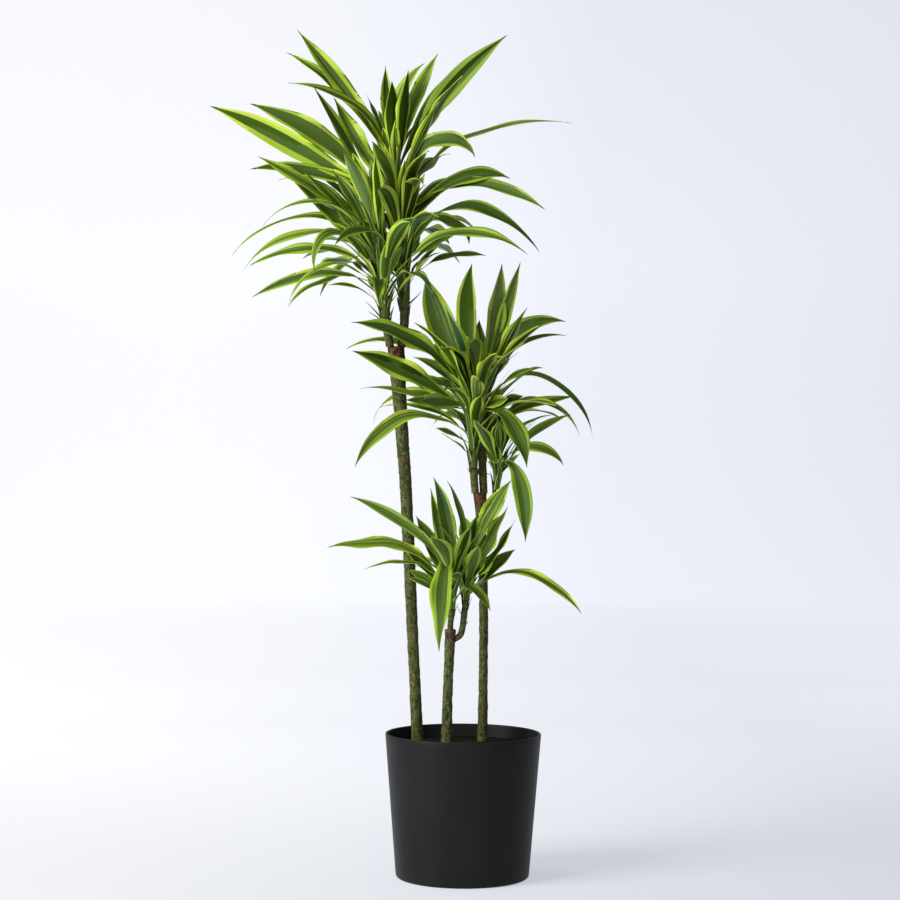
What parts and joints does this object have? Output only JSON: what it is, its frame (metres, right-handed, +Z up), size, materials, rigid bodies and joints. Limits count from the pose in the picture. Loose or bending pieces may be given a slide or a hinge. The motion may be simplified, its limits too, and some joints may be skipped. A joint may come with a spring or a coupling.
{
  "type": "potted lemon lime dracaena",
  "caption": "Potted lemon lime dracaena: bare canes of stepped height, each topped by crowns of arching striped strap leaves, in a plain round black pot.",
  "frame": {"origin": "centre of the pot's flat underside, where it stands on the floor", "axes": "+Z up along the pot's axis; -Y towards the side shown in the picture, where the short cane stands; +X to the right as seen from there"},
  "size_m": [0.5953, 0.4536, 1.3102],
  "materials": {
    "pot": "matte charcoal black moulded plastic",
    "soil": "dark crumbly potting mix",
    "bark": "grey-green cane bark with pale specks and faint leaf rings",
    "shoot_bark": "younger green-brown bark with close leaf scars",
    "foliage": "leathery strap leaves, dark green centre between lime margins, satin"
  },
  "bodies": {
    "root": {"pot": "pot", "soil": "soil", "cane_tall": "bark", "cane_middle": "bark", "cane_short": "bark", "shoot_tall_left": "shoot_bark", "shoot_tall_right": "shoot_bark", "shoot_middle_left": "shoot_bark", "shoot_middle_right": "shoot_bark", "shoot_middle_side": "shoot_bark", "shoot_short_left": "shoot_bark", "shoot_short_right": "shoot_bark", "crown_tall_right": "foliage", "crown_tall_left": "foliage", "crown_middle_left": "foliage", "crown_middle_right": "foliage", "crown_middle_side": "foliage", "crown_short_left": "foliage", "crown_short_right": "foliage"}
  },
  "joints": []
}
